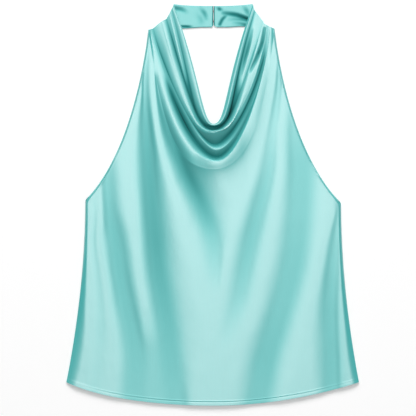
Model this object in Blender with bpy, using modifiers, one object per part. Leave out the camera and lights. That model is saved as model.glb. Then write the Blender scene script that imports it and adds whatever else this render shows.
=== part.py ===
"""A halter neck top in satin, laid flat on its back.

The front is one piece whose cowl hangs in swags from pleated shoulders. Under it lie the
plain lower back and the two halves of the neck band, closed by hooks at the centre back.
X runs to the viewer's right, Y from the hem to the neck, Z up from the surface it lies on.
All sizes are in millimetres until a mesh is made. Heights along the body are measured
"up" from the lowest point of the hem.
"""
from collections import namedtuple
from math import cos, pi

import bmesh
import bpy
import numpy as np

MM = 0.001

# Overall sizes
LENGTH = 669.0
MIDDLE_UP = LENGTH / 2

# Cloth
CLOTH = 1.2
STEEPEST_WALL = 3.0
BAND_CLOTH = 2.0
SEAM_GAP = 0.3

# Hem: half its width, how far its corners rise, as a square and a sixth power of the distance
HEM_HALF = 243.75
HEM_RISE_LEFT = (30.0, 9.0)
HEM_RISE_RIGHT = (39.0, 0.0)

# Side seams flare from the underarm to the hem
UNDERARM_LEFT = (-212.0, 342.5)
UNDERARM_RIGHT = (213.75, 337.5)
FLARE_POWER = 1.9

# Armholes, as the two handles of a Bezier curve from the shoulder to the underarm
ARMHOLE_LEFT = ((-119.0, 530.0), (-150.0, 405.0))
ARMHOLE_RIGHT = ((115.0, 530.0), (147.0, 405.0))

# The swags of the cowl, from the neck edge outwards. Each side leaves the shoulder seam at
# its end, is drawn by its knee, and turns at its corner into the level low point.
# rows: rows of the mesh from the line before it to this line.
# inner, outer: how far its rounding reaches towards the neck and away from it, at its left,
# its low point and its right.
# heights: the cloth's middle above the surface, at the stations SWAG_STATIONS along the swag.
Swag = namedtuple("Swag", "name end_l knee_l corner_l low corner_r knee_r end_r rows inner outer heights")
SWAG_STATIONS = (0.0, 0.15, 0.25, 0.34, 0.42, 0.5, 0.58, 0.66, 0.75, 0.85, 0.92, 1.0)
SWAGS = (
    Swag("neck edge", (-65, 668), (-21, 550), -17, (1.2, 469.3), 23.5, (19, 538), (67, 668), 0,
         (0.5, 0.5, 0.5), (0.5, 0.5, 0.5), (4, 6.4, 6.6, 6.7, 6.4, 5.8, 5.3, 5.6, 5.6, 5.4, 4.8, 3.9)),
    Swag("rolled edge", (-66.5, 664), (-19, 535), -23, (1.2, 467.3), 30, (21, 519), (68, 664), 2,
         (3, 1.2, 1.8), (8, 1.2, 4.5), (4.6, 6.8, 7, 7.1, 6.8, 6.3, 6.4, 6.6, 6.6, 6.4, 5.8, 4.8)),
    Swag("inner crevice", (-69, 659), (-29, 520), -37, (1.2, 463.5), 40, (25, 516), (70, 658), 2,
         (1, 0.6, 0.6), (1, 0.6, 0.6), (4.2, 5.7, 5.7, 5.1, 3.2, 1.8, 2.4, 4.3, 5.4, 5.5, 5.1, 4.4)),
    Swag("pleat", (-72, 653), (-37, 508), -27, (1.2, 462.2), 19, (45, 495), (75, 652), 1,
         (2.6, 0.3, 9), (2.6, 0.3, 2), (4.8, 6.5, 6.3, 5.3, 3.3, 1.9, 2.8, 5.1, 6.5, 6.4, 5.9, 5)),
    Swag("first crevice", (-77, 644), (-44, 534), -27, (1.2, 460.4), 29, (47, 528), (84, 640), 1,
         (0.8, 0.4, 0.8), (0.8, 0.4, 0.8), (4.2, 5.6, 5.8, 5.2, 3.2, 1.8, 2.6, 5.1, 6.3, 6.2, 5.9, 5.1)),
    Swag("first swag", (-85, 640), (-36, 461), -24, (1.2, 456.8), 43, (41, 490), (86, 636), 3,
         (10, 2, 10), (10, 3, 10), (5, 7.4, 7.4, 7.3, 8, 12, 9, 7.6, 7.5, 7.4, 6.5, 5.2)),
    Swag("outer pleat", (-87, 638.5), (-38, 466), -26, (1.2, 455.8), 45, (87, 578), (89.5, 634), 1,
         (10, 2, 0.5), (10, 2, 0.5), (4.9, 7.3, 7.35, 7.25, 7.9, 11.8, 8.8, 7.3, 7.1, 7.3, 6.4, 5.2)),
    Swag("inner hollow", (-99.5, 628), (-80, 553), -26, (4.6, 434.2), 32, (95, 562), (91.5, 633), 4,
         (1.2, 1.5, 0.8), (1.2, 1.5, 0.8), (4.2, 5.7, 6.1, 6.1, 5.4, 4.4, 4.6, 6, 5.6, 5, 5.8, 5)),
    Swag("small swag", (-101, 627.6), (-83, 560), -27, (6.2, 427), 48, (98, 582), (92.5, 632.5), 2,
         (1.2, 3, 1), (1.2, 3, 1), (4.3, 6.5, 6.5, 6.5, 6.3, 8.6, 6.6, 6.4, 6.2, 5.7, 6, 5)),
    Swag("outer hollow", (-102.5, 627.2), (-87, 553), -32, (6.2, 413.6), 38, (99, 568), (93.5, 632), 3,
         (1.5, 0.8, 1), (1.5, 0.8, 1), (4.5, 7.2, 5.6, 4.7, 3.8, 3.6, 5.2, 6, 6.4, 6.3, 6.2, 5.1)),
    Swag("second swag", (-104.5, 626.6), (-73, 452), -34, (6.2, 406), 55, (95, 583), (96, 631), 3,
         (11, 3.7, 4), (11, 14, 14), (4.8, 7.4, 7.4, 7.5, 8, 11.6, 11, 9.5, 9, 8, 6.8, 5.2)),
)
COWL_FOOT = Swag("cowl foot", (-107, 626), (-81, 435), -52, (2.9, 394.8), 44, (84, 442), (103, 627.5), 3,
                 (0.3, 0.3, 0.3), (0.3, 0.3, 0.3), None)
# How high the cowl's foot stands over the body, and how far down the body that dies away
FOOT_RISES = (0, 0, 0, 0.3, 2.5, 2.9, 2.0, 1.0, 0.6, 0.35, 0.15, 0)
FOOT_REACH = (9.0, 18.0, 9.0)

# Lines of the folds down the body, crests and hollows by turns: x where each crosses the
# stations up the body and how far it sinks there, and for a hollow how far its left and right
# banks reach, and half the width of its floor at the bust and at the hem.
UP_STATIONS = (600, 525, 460, 392, 326, 276, 226, 176, 126, 76, 26)
BODY_HEIGHTS = (7.0, 7.6, 8.0, 8.0, 7.8, 7.4, 7.0, 6.5, 6.0, 5.5, 5.0)
Fold = namedtuple("Fold", "name across sinks banks floor", defaults=((0, 0), (0, 0)))
CREST = (0,) * 11
FOLDS = (
    Fold("left edge crest", (-224, -220, -217, -210, -204, -207, -205, -204, -207, -210, -215), CREST),
    Fold("left edge hollow", (-214, -210, -207, -204, -197, -199, -195, -189, -187, -192, -200),
         (0, 0, 0, 0, 0.1, 0.2, 0.2, 0.2, 0.2, 0.1, 0.1), (20, 20), (0, 0)),
    Fold("left side crest", (-204, -200, -197, -192, -187, -190, -182, -175, -170, -167, -175), CREST),
    Fold("left side hollow", (-187, -184, -182, -178, -173, -162, -155, -146, -135, -129, -132),
         (0, 0, 0, 0.9, 1.4, 1.7, 1.7, 1.6, 1.5, 1.3, 1.1), (32, 27), (0, 5)),
    Fold("left long crest", (-122, -122, -132, -135, -129, -127, -125, -117, -109, -100, -104),
         (0, 0, 0, 0, 0, 0, 0, 0, 0.3, 0.8, 0.8)),
    Fold("left long hollow", (-110, -114, -109, -105, -100, -95, -90, -82, -74, -69, -64),
         (0, 0.9, 2.1, 2.6, 2.8, 2.9, 2.6, 2.2, 1.8, 1.5, 1.2), (32, 60), (0, 6)),
    Fold("left bust crest", (-100, -99, -92, -77, -57, -45, -27, -20, -7, -10, -27), CREST),
    Fold("left bust hollow", (-97, -90, -70, -42, -14, 0, 6, 10, 12, 4, -13),
         (0, 1.1, 3.5, 4.6, 2.7, 1.1, 0.4, 0, 0, 0, 0), (40, 58), (0, 4)),
    Fold("right bust crest", (106, 98, 85, 68, 46, 30, 20, 10, 0, -4, -20), CREST),
    Fold("right bust hollow", (111, 109, 100, 93, 76, 63, 53, 43, 28, 16, -4),
         (0.2, 0.5, 0.4, 0.8, 1.2, 1.3, 1.1, 0.7, 0.2, 0, 0), (42, 30), (0, 0)),
    Fold("right side crest", (118, 120, 116, 113, 103, 95, 85, 73, 56, 28, 6), CREST),
    Fold("right side hollow", (140, 143, 145, 148, 145, 140, 132, 119, 104, 89, 80),
         (0, 0.3, 0.7, 1.1, 1.1, 1.2, 1.3, 1.3, 1.4, 1.5, 1.3), (40, 70), (8, 8)),
    Fold("right edge crest", (196, 196, 198, 200, 201, 188, 178, 168, 160, 151, 135), CREST),
    Fold("right edge hollow", (210, 210, 210, 210, 210, 205, 200, 197, 197, 199, 200),
         (0, 0, 0, 0, 0.4, 0.8, 1.1, 1.3, 1.4, 1.4, 1.3), (34, 16), (0, 2)),
    Fold("right seam crest", (216, 216, 216, 216, 218, 219, 221, 222, 224, 228, 232), CREST),
)
# How far the banks round out at the floors, how much of a crest stays level beside a bank,
# and how high up the narrow floors begin
HOLLOW_SOFT = 10.0
CREST_FLAT = 3.0
FLOOR_UP = 392

# Mesh rows down the body, closer at the cowl
BODY_ROWS = 25
BODY_ROW_POWER = 1.2

# Mesh columns: close ones at the two side edges, even ones between
EDGE_COLUMNS = (0.0, 0.006, 0.016, 0.03)
EVEN_COLUMNS = 42

# How wide the cloth rolls down to its edges, at the stations up the body
ROLLS_LEFT = (2.5, 2.5, 2.5, 2.5, 3.5, 4.5, 7.0, 11.0, 17.0, 20.0, 18.0)
ROLLS_RIGHT = (2.5, 2.5, 2.5, 2.5, 3.5, 5.0, 6.0, 7.0, 9.0, 12.0, 12.0)
ROLL_SOFT = 1.0

# Short creases: depth at the ends and the middle, how far each bank reaches, and its route
Pleat = namedtuple("Pleat", "name depth width route")
PLEATS = (
    Pleat("right inner pleat", (0.4, 1.5, 0.3), 3, ((65, 626), (60, 601), (53, 576), (46, 551))),
    Pleat("right wedge", (0.8, 2.1, 0.5), 2.9, ((87, 628), (83, 606), (74, 581), (62, 556))),
)
PLEAT_SOFT = 1.6

# How softly hollows settle on what lies under them, and the least room they leave there
SETTLE = 0.8
SETTLE_ROOM = 0.2

# Lower back: how far its top edge dips between the underarms
BACK_DIP = 16.0
BACK_TOP_POINTS = 24
OUTLINE_POINTS = 28

# The front drops to the surface beyond the back's top edge, and rises over the neck band
DROP_START = 10.0
DROP_LENGTH = 24.0
RISE_START = 27.0
RISE_LENGTH = 15.0

# Neck band: its upper edge sags between the shoulders, its halves meet at the slit
BAND_TOP = 669.0
BAND_TOP_SAG = 3.2
BAND_BOTTOM = ((-107.0, 626.0), (-45.0, 628.3), (-20.0, 630.0), (26.0, 630.2), (46.0, 631.6), (103.0, 627.5))
SLIT_LEFT = 0.4
SLIT_RIGHT = 2.4
SLIT_CORNER_UP = 633.3
SLIT_CORNER_LEFT = -2.0
SLIT_CORNER_RIGHT = 7.9
BAND_END_INSET = 0.4

# Hook-and-eye closures in the slit
HOOK_UPS = {"neck_hook_upper": 657.5, "neck_hook_lower": 641.0}
HOOK_LENGTH = 4.0
HOOK_THICK = 1.2

SATIN = (0.30, 0.68, 0.65, 1.0)
SATIN_BACK = (0.27, 0.62, 0.60, 1.0)
STEEL = (0.55, 0.55, 0.54, 1.0)


def clear_scene():
    for obj in list(bpy.data.objects):
        bpy.data.objects.remove(obj, do_unlink=True)


def material(name, color, roughness, metallic=0.0):
    mat = bpy.data.materials.new(name)
    mat.use_nodes = True
    shader = mat.node_tree.nodes["Principled BSDF"]
    shader.inputs["Base Color"].default_value = color
    shader.inputs["Roughness"].default_value = roughness
    shader.inputs["Metallic"].default_value = metallic
    return mat


def smooth_step(value):
    t = np.clip(value, 0.0, 1.0)
    return t * t * (3.0 - 2.0 * t)


def smooth_interp(x, xs, ys):
    """A smooth curve through (xs, ys) that never overshoots its points."""
    xs = np.asarray(xs, float)
    ys = np.asarray(ys, float)
    step = np.diff(xs)
    rise = np.diff(ys) / step
    slope = np.zeros(len(xs))
    same_way = rise[:-1] * rise[1:] > 0
    slope[1:-1][same_way] = 2 * rise[:-1][same_way] * rise[1:][same_way] / (rise[:-1] + rise[1:])[same_way]
    slope[0] = rise[0]
    slope[-1] = rise[-1]
    i = np.clip(np.searchsorted(xs, x, side="right") - 1, 0, len(xs) - 2)
    t = (x - xs[i]) / step[i]
    keep = (1 + 2 * t) * (1 - t) ** 2 * ys[i] + t * t * (3 - 2 * t) * ys[i + 1]
    return keep + step[i] * (t * (1 - t) ** 2 * slope[i] - t * t * (1 - t) * slope[i + 1])


def spline_interp(x, xs, ys):
    """A flowing curve through (xs, ys)."""
    xs = np.asarray(xs, float)
    ys = np.asarray(ys, float)
    slope = np.gradient(ys, xs)
    i = np.clip(np.searchsorted(xs, x, side="right") - 1, 0, len(xs) - 2)
    step = (xs[1:] - xs[:-1])[i]
    t = (x - xs[i]) / step
    keep = (1 + 2 * t) * (1 - t) ** 2 * ys[i] + t * t * (3 - 2 * t) * ys[i + 1]
    return keep + step * (t * (1 - t) ** 2 * slope[i] - t * t * (1 - t) * slope[i + 1])


def bezier(start, first, second, end, count=120):
    t = np.linspace(0, 1, count)[:, None]
    points = [np.asarray(p, float) for p in (start, first, second, end)]
    return ((1 - t) ** 3 * points[0] + 3 * t * (1 - t) ** 2 * points[1]
            + 3 * t * t * (1 - t) * points[2] + t ** 3 * points[3])


def along(line, shares):
    """Points at these shares of a line's length."""
    length = np.concatenate([[0.0], np.cumsum(np.linalg.norm(np.diff(line, axis=0), axis=1))])
    at = np.asarray(shares) * length[-1]
    return np.stack([np.interp(at, length, line[:, 0]), np.interp(at, length, line[:, 1])], axis=1)


def swag_line(swag, shares):
    """The swag seen from above, at these shares of the way from the left shoulder to the right."""
    left = bezier(swag.end_l, swag.knee_l, (swag.corner_l, swag.low[1]), swag.low)
    right = bezier(swag.low, (swag.corner_r, swag.low[1]), swag.knee_r, swag.end_r)
    shares = np.asarray(shares)
    first = along(left, np.clip(shares * 2, 0, 1))
    second = along(right, np.clip(shares * 2 - 1, 0, 1))
    return np.where((shares < 0.5)[:, None], first, second)


def hem_up(x):
    t = np.abs(np.asarray(x, float)) / HEM_HALF
    left = HEM_RISE_LEFT[0] * t ** 2 + HEM_RISE_LEFT[1] * t ** 6
    right = HEM_RISE_RIGHT[0] * t ** 2 + HEM_RISE_RIGHT[1] * t ** 6
    return np.where(np.asarray(x) < 0, left, right)


def hem_line(shares):
    x = HEM_HALF * (2 * np.asarray(shares) - 1)
    return np.stack([x, hem_up(x)], axis=1)


def side_seam(underarm, count=OUTLINE_POINTS):
    """From the underarm down to the hem's corner, flaring more and more."""
    t = np.linspace(0, 1, count)
    side = np.sign(underarm[0])
    x = underarm[0] + side * (HEM_HALF - abs(underarm[0])) * t ** FLARE_POWER
    up = underarm[1] + (hem_up(side * HEM_HALF) - underarm[1]) * t
    return np.stack([x, up], axis=1)


def side_edge(swag_end, handles, underarm, shares):
    """The armhole for shares up to a half, then the side seam."""
    armhole = bezier(swag_end, handles[0], handles[1], underarm)
    shares = np.asarray(shares)
    first = along(armhole, np.clip(shares * 2, 0, 1))
    second = along(side_seam(underarm), np.clip(shares * 2 - 1, 0, 1))
    return np.where((shares < 0.5)[:, None], first, second)


def left_edge(shares):
    return side_edge(COWL_FOOT.end_l, ARMHOLE_LEFT, UNDERARM_LEFT, shares)


def right_edge(shares):
    return side_edge(COWL_FOOT.end_r, ARMHOLE_RIGHT, UNDERARM_RIGHT, shares)


def distance_to(line, x, up, count=90):
    """Distance of each point to a line, and the share of the line's length where it is nearest."""
    fine = along(line, np.linspace(0, 1, count))
    best = np.full(x.shape, 1e9)
    share = np.zeros(x.shape)
    for k in range(count - 1):
        start = fine[k]
        run = fine[k + 1] - start
        t = ((x - start[0]) * run[0] + (up - start[1]) * run[1]) / max(run @ run, 1e-9)
        t = np.clip(t, 0, 1)
        gap = np.hypot(x - start[0] - t * run[0], up - start[1] - t * run[1])
        nearer = gap < best
        best = np.where(nearer, gap, best)
        share = np.where(nearer, (k + t) / (count - 1), share)
    return best, share


def curve_through(route, count=60):
    """A smooth line through the route's points."""
    route = np.asarray(route, float)
    at = np.linspace(0, 1, len(route))
    t = np.linspace(0, 1, count)
    return np.stack([smooth_interp(t, at, route[:, 0]), smooth_interp(t, at, route[:, 1])], axis=1)


def flank(t, soft_start, soft_end):
    """Share of a bank's drop where its slope grows over the first part and dies over the last."""
    steep = 1 / (1 - (soft_start + soft_end) / 2)
    rising = t ** 2 / (2 * np.maximum(soft_start, 1e-6))
    dying = 1 - soft_start / 2 - soft_end / 2 - (1 - t) ** 2 / (2 * np.maximum(soft_end, 1e-6))
    return steep * np.where(t < soft_start, rising, np.where(t > 1 - soft_end, dying, t - soft_start / 2))


def soft_shares(start, end):
    """The two rounded shares of a bank, cut back where together they are more than all of it."""
    least = np.minimum(np.minimum(start, end), 0.5)
    return np.where(start > end, np.minimum(start, 1 - least), least), \
        np.where(start > end, least, np.minimum(end, 1 - least))


def pleat_depth(pleat, x, up):
    """A narrow crease with straight banks, fading towards its ends."""
    gap, share = distance_to(curve_through(pleat.route), x, up)
    depth = smooth_interp(share, (0.0, 0.5, 1.0), pleat.depth)
    inside = np.clip((np.sqrt(gap ** 2 + PLEAT_SOFT ** 2) - PLEAT_SOFT) / pleat.width, 0, 1)
    return depth * (1 - inside) ** 2


def body_height(x, up):
    """Height of the folded body between its crests and hollows."""
    stations = UP_STATIONS[::-1]
    base = smooth_interp(up, stations, BODY_HEIGHTS[::-1])
    lines = [spline_interp(up, stations, fold.across[::-1]) for fold in FOLDS]
    sinks = [smooth_interp(up, stations, fold.sinks[::-1]) for fold in FOLDS]
    sunk = np.zeros(x.shape)
    for i in range(len(FOLDS) - 1):
        wide = np.maximum(lines[i + 1] - lines[i], 0.5)
        between = (x >= lines[i]) & (x < lines[i + 1])
        before = i % 2 == 0
        crest, hollow = (i, i + 1) if before else (i + 1, i)
        away = np.abs(x - lines[hollow])
        floor = np.interp(up, (0, FLOOR_UP), FOLDS[hollow].floor[::-1])
        floor = np.minimum(floor, wide / 4)
        slope = np.maximum(wide - floor - CREST_FLAT, wide / 2)
        bank = np.minimum(slope, FOLDS[hollow].banks[0 if before else 1])
        outside = np.maximum(away - floor, 0)
        soft = np.minimum(HOLLOW_SOFT / bank, 0.5)
        drop = flank(1 - np.clip(outside / bank, 0, 1), 1 - soft, soft)
        sunk = np.where(between, sinks[crest] + (sinks[hollow] - sinks[crest]) * drop, sunk)
    return base - sunk


def back_top_up(x):
    """The top edge of the lower back, dipping between the underarms."""
    share = (x - UNDERARM_LEFT[0]) / (UNDERARM_RIGHT[0] - UNDERARM_LEFT[0])
    straight = UNDERARM_LEFT[1] + (UNDERARM_RIGHT[1] - UNDERARM_LEFT[1]) * share
    return straight - BACK_DIP * np.sin(pi * np.clip(share, 0, 1))


def band_bottom_up(x):
    xs, ups = zip(*BAND_BOTTOM)
    return np.interp(x, xs, ups)


def lie_level(x, up):
    """Height of what the front lies on: the lower back, the bare surface, or the neck band."""
    over_back = 1 - smooth_step((up - back_top_up(x) - DROP_START) / DROP_LENGTH)
    over_band = smooth_step((up - band_bottom_up(x) + RISE_START) / RISE_LENGTH)
    return (CLOTH + SEAM_GAP) * over_back + (BAND_CLOTH + SEAM_GAP) * over_band


def front_columns():
    even = np.linspace(0, 1, EVEN_COLUMNS + 1)
    first = EDGE_COLUMNS[-1] + (1 - 2 * EDGE_COLUMNS[-1]) * even
    edge = np.array(EDGE_COLUMNS[:-1])
    return np.concatenate([edge, first, 1 - edge[::-1]])


def side_to_low(trio, columns):
    """A value that a swag has on its left, changing to others at its low point and on its right."""
    left, low, right = trio
    return smooth_interp(columns, (0.0, 0.36, 0.5, 0.64, 1.0), (left, left, low, right, right))


def foot_heights(columns):
    line = swag_line(COWL_FOOT, columns)
    return body_height(line[:, 0], line[:, 1]) + smooth_interp(columns, SWAG_STATIONS, FOOT_RISES)


def cowl_rows(columns):
    """Rows of (x, up, height) from the neck edge to the cowl's foot."""
    swags = SWAGS + (COWL_FOOT,)
    lines = [swag_line(swag, columns) for swag in swags]
    heights = [smooth_interp(columns, SWAG_STATIONS, swag.heights) for swag in SWAGS]
    heights.append(foot_heights(columns))
    rows = [np.column_stack([lines[0], heights[0]])]
    for i, swag in enumerate(swags[1:]):
        wide = np.maximum(np.linalg.norm(lines[i + 1] - lines[i], axis=1), 0.5)
        start, end = soft_shares(side_to_low(swags[i].outer, columns) / wide,
                                 side_to_low(swag.inner, columns) / wide)
        for k in range(1, swag.rows + 1):
            t = (1 - cos(pi * k / swag.rows)) / 2
            place = lines[i] + (lines[i + 1] - lines[i]) * t
            height = heights[i] + (heights[i + 1] - heights[i]) * flank(np.full(wide.shape, t), start, end)
            rows.append(np.column_stack([place, height]))
    return rows


def body_rows(columns):
    """Rows from the cowl's foot to the hem, spread between the two side edges."""
    top = swag_line(COWL_FOOT, columns)
    hem = hem_line(columns)
    across = columns[:, None]
    rows = []
    for k in range(1, BODY_ROWS + 1):
        share = (k / BODY_ROWS) ** BODY_ROW_POWER
        place = top + (hem - top) * share
        left = left_edge([share])[0] - place[0]
        right = right_edge([share])[0] - place[-1]
        rows.append(place + (1 - across) * left + across * right)
    place = np.array(rows)
    x, up = place[..., 0], place[..., 1]
    gap, share = distance_to(top, x, up)
    rise = smooth_interp(share, SWAG_STATIONS, FOOT_RISES)
    height = body_height(x, up) + rise * np.exp(-gap / side_to_low(FOOT_REACH, share))
    return np.concatenate([place, height[..., None]], axis=-1)


def edge_roll(line, rolls, x, up, height, low):
    """Brings the cloth down to a low edge over the width of its roll."""
    gap, _ = distance_to(line, x, up)
    wide = smooth_interp(up, UP_STATIONS[::-1], rolls[::-1])
    lift = flank(np.clip(gap / wide, 0, 1), 0.0, ROLL_SOFT)
    return low + (height - low) * lift


def front_surface():
    """The middle of the front's cloth as a grid of (x, up, height), with the level it lies on."""
    columns = front_columns()
    grid = np.concatenate([np.array(cowl_rows(columns)), body_rows(columns)])
    x, up, height = (grid[..., i] for i in range(3))
    for pleat in PLEATS:
        height = height - pleat_depth(pleat, x, up)
    level = lie_level(x, up)
    low = level + CLOTH / 2 + SETTLE_ROOM
    height = low + (height - low + np.sqrt((height - low) ** 2 + SETTLE ** 2)) / 2
    shares = np.linspace(0, 1, 120)
    height = edge_roll(left_edge(shares), ROLLS_LEFT, x, up, height, low)
    height = edge_roll(right_edge(shares), ROLLS_RIGHT, x, up, height, low)
    return x, up, height, level


def wall_height(x, up, mid):
    """The cloth's thickness straight up, larger where it is steep."""
    rows = np.stack([np.gradient(a, axis=0) for a in (x, up, mid)], axis=-1)
    columns = np.stack([np.gradient(a, axis=1) for a in (x, up, mid)], axis=-1)
    normal = np.cross(rows, columns)
    upright = np.abs(normal[..., 2]) / np.maximum(np.linalg.norm(normal, axis=-1), 1e-9)
    return np.minimum(CLOTH / np.maximum(upright, 0.05), STEEPEST_WALL)


def add_object(name, mesh, mat, collection):
    mesh.materials.append(mat)
    obj = bpy.data.objects.new(name, mesh)
    collection.objects.link(obj)
    return obj


def placed(x, up, z):
    """A point of the pattern in the model's own frame, in metres."""
    return np.stack([x, up - MIDDLE_UP, z], axis=-1) * MM


def wall_from_grids(name, top, bottom, mat, collection):
    """A closed wall between two grids of points, joined along their rims."""
    rows, columns = top.shape[:2]
    vertices = np.concatenate([top.reshape(-1, 3), bottom.reshape(-1, 3)])
    index = np.arange(rows * columns).reshape(rows, columns)
    below = index + rows * columns
    faces = []
    for r in range(rows - 1):
        for c in range(columns - 1):
            quad = [index[r, c], index[r + 1, c], index[r + 1, c + 1], index[r, c + 1]]
            faces.append(quad)
            faces.append([q + rows * columns for q in reversed(quad)])
    rim = list(index[0, :]) + list(index[1:, -1]) + list(index[-1, -2::-1]) + list(index[-2:0:-1, 0])
    lower_rim = list(below[0, :]) + list(below[1:, -1]) + list(below[-1, -2::-1]) + list(below[-2:0:-1, 0])
    for k in range(len(rim)):
        n = (k + 1) % len(rim)
        faces.append([rim[k], rim[n], lower_rim[n], lower_rim[k]])
    mesh = bpy.data.meshes.new(name)
    mesh.from_pydata(vertices.tolist(), [], [[int(v) for v in face] for face in faces])
    work = bmesh.new()
    work.from_mesh(mesh)
    bmesh.ops.recalc_face_normals(work, faces=work.faces)
    work.to_mesh(mesh)
    work.free()
    mesh.shade_smooth()
    mesh.set_sharp_from_angle(angle=pi / 3)
    return add_object(name, mesh, mat, collection)


def make_front(collection):
    x, up, mid, level = front_surface()
    thick = wall_height(x, up, mid)
    bottom = np.maximum(mid - thick / 2, level)
    top = np.maximum(mid + thick / 2, bottom + CLOTH)
    mat = material("front_satin", SATIN, 0.3)
    return wall_from_grids("front", placed(x, up, top), placed(x, up, bottom), mat, collection)


def flat_piece(name, outline, low, high, mat, collection):
    """A flat wall from its outline, seen from above, between two heights."""
    curve = bpy.data.curves.new(name + "_outline", "CURVE")
    curve.dimensions = "2D"
    curve.fill_mode = "BOTH"
    curve.extrude = (high - low) / 2 * MM
    spline = curve.splines.new("POLY")
    points = placed(outline[:, 0], outline[:, 1], np.zeros(len(outline)))
    spline.points.add(len(points) - 1)
    for target, point in zip(spline.points, points):
        target.co = (point[0], point[1], 0.0, 1.0)
    spline.use_cyclic_u = True
    obj = bpy.data.objects.new(name, curve)
    obj.location.z = (low + high) / 2 * MM
    collection.objects.link(obj)
    curve.materials.append(mat)
    return obj


def make_back(collection):
    shares = np.linspace(0, 1, BACK_TOP_POINTS)
    x = UNDERARM_LEFT[0] + (UNDERARM_RIGHT[0] - UNDERARM_LEFT[0]) * shares
    top = np.stack([x, back_top_up(x)], axis=1)
    right = side_seam(UNDERARM_RIGHT)
    hem = hem_line(np.linspace(1, 0, 2 * OUTLINE_POINTS))
    left = side_seam(UNDERARM_LEFT)[::-1]
    outline = np.concatenate([top, right[1:], hem[1:], left[1:-1]])
    flat_piece("back", outline, 0.0, CLOTH, material("back_satin", SATIN_BACK, 0.35), collection)


def shoulder_seam(left):
    """The shoulder seam from the neck edge out to the armhole, a little inside the front's edge."""
    side = -1 if left else 1
    ends = [swag.end_l if left else swag.end_r for swag in SWAGS + (COWL_FOOT,)]
    seam = np.array(ends, float)
    seam[:, 0] -= side * BAND_END_INSET
    return seam


def band_top_up(x):
    """The band's upper edge sags between the shoulders."""
    reach = abs(SWAGS[0].end_l[0])
    return BAND_TOP - BAND_TOP_SAG * (1 - np.clip(np.abs(x) / reach, 0, 1) ** 3)


def band_half(left):
    """Outline of one half of the neck band, from the slit along its top to the shoulder and back."""
    slit = SLIT_LEFT if left else SLIT_RIGHT
    corner = SLIT_CORNER_LEFT if left else SLIT_CORNER_RIGHT
    seam = shoulder_seam(left)
    top_x = np.linspace(slit, seam[0, 0], 10)
    top = np.stack([top_x, band_top_up(top_x)], axis=1)
    inner = [p for p in BAND_BOTTOM[1:-1] if (p[0] < corner) == left and p[0] * (-1 if left else 1) > 0]
    bottom = np.array(sorted(inner, key=lambda p: -abs(p[0])))
    end = np.array([[corner, band_bottom_up(corner)], [slit, SLIT_CORNER_UP]])
    return np.concatenate([top, seam[1:], bottom, end])


def make_neck_band(collection):
    for name, left in (("neck_band_left", True), ("neck_band_right", False)):
        mat = material(name + "_satin", SATIN, 0.3)
        flat_piece(name, band_half(left), 0.0, BAND_CLOTH, mat, collection)


def make_hooks(collection):
    width = (SLIT_RIGHT - SLIT_LEFT - 2 * SEAM_GAP) * MM
    middle_x = (SLIT_LEFT + SLIT_RIGHT) / 2
    for name, up in HOOK_UPS.items():
        mesh = bpy.data.meshes.new(name)
        work = bmesh.new()
        bmesh.ops.create_cube(work, size=1.0)
        bmesh.ops.scale(work, vec=(width, HOOK_LENGTH * MM, HOOK_THICK * MM), verts=work.verts)
        work.to_mesh(mesh)
        work.free()
        obj = add_object(name, mesh, material(name + "_steel", STEEL, 0.4, 1.0), collection)
        obj.location = placed(middle_x, up, BAND_CLOTH / 2)
        bevel = obj.modifiers.new("rounded", "BEVEL")
        bevel.width = 0.3 * MM
        bevel.segments = 2


def build():
    clear_scene()
    collection = bpy.data.collections.new("halter_neck_top")
    bpy.context.scene.collection.children.link(collection)
    make_front(collection)
    make_back(collection)
    make_neck_band(collection)
    make_hooks(collection)


build()
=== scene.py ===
"""The looks of a halter neck top in aqua satin, laid flat on its back.

Every piece is a thin shell on the form of its solid in the frame. Sizes are in millimetres
until a mesh is made, and heights along the body are measured "up" from the hem's lowest
point, as in the solids' own source.
"""
from collections import namedtuple
from math import cos, pi, radians

import bmesh
import bpy
import numpy as np
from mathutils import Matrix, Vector
from mathutils.bvhtree import BVHTree


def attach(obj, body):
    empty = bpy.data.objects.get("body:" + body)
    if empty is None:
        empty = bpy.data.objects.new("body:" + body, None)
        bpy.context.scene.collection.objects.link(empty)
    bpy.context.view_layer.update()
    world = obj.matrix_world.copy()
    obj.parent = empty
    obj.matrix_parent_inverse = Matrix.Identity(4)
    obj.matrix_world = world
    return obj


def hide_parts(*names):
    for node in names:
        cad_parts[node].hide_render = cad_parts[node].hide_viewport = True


MM = 0.001
PHOTO_PIXELS = 416
PIXEL_MM = 1 / 0.6

# Overall sizes, as in the solids
LENGTH = 669.0
MIDDLE_UP = LENGTH / 2
LIE_CLOTH = 1.2
BAND_CLOTH = 2.0
SEAM_GAP = 0.3

# The real cloth
CLOTH = 0.5

# The outline: half the hem's width, how its corners rise on each side, the underarms, how
# the sides flare, and what draws each armhole
HEM_HALF = 243.75
HEM_RISE_LEFT = (30.0, 9.0)
HEM_RISE_RIGHT = (39.0, 0.0)
UNDERARM_LEFT = (-212.0, 342.5)
UNDERARM_RIGHT = (213.75, 337.5)
FLARE_POWER = 1.9
ARMHOLE_LEFT = ((-119.0, 530.0), (-150.0, 405.0))
ARMHOLE_RIGHT = ((115.0, 530.0), (147.0, 405.0))

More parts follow.
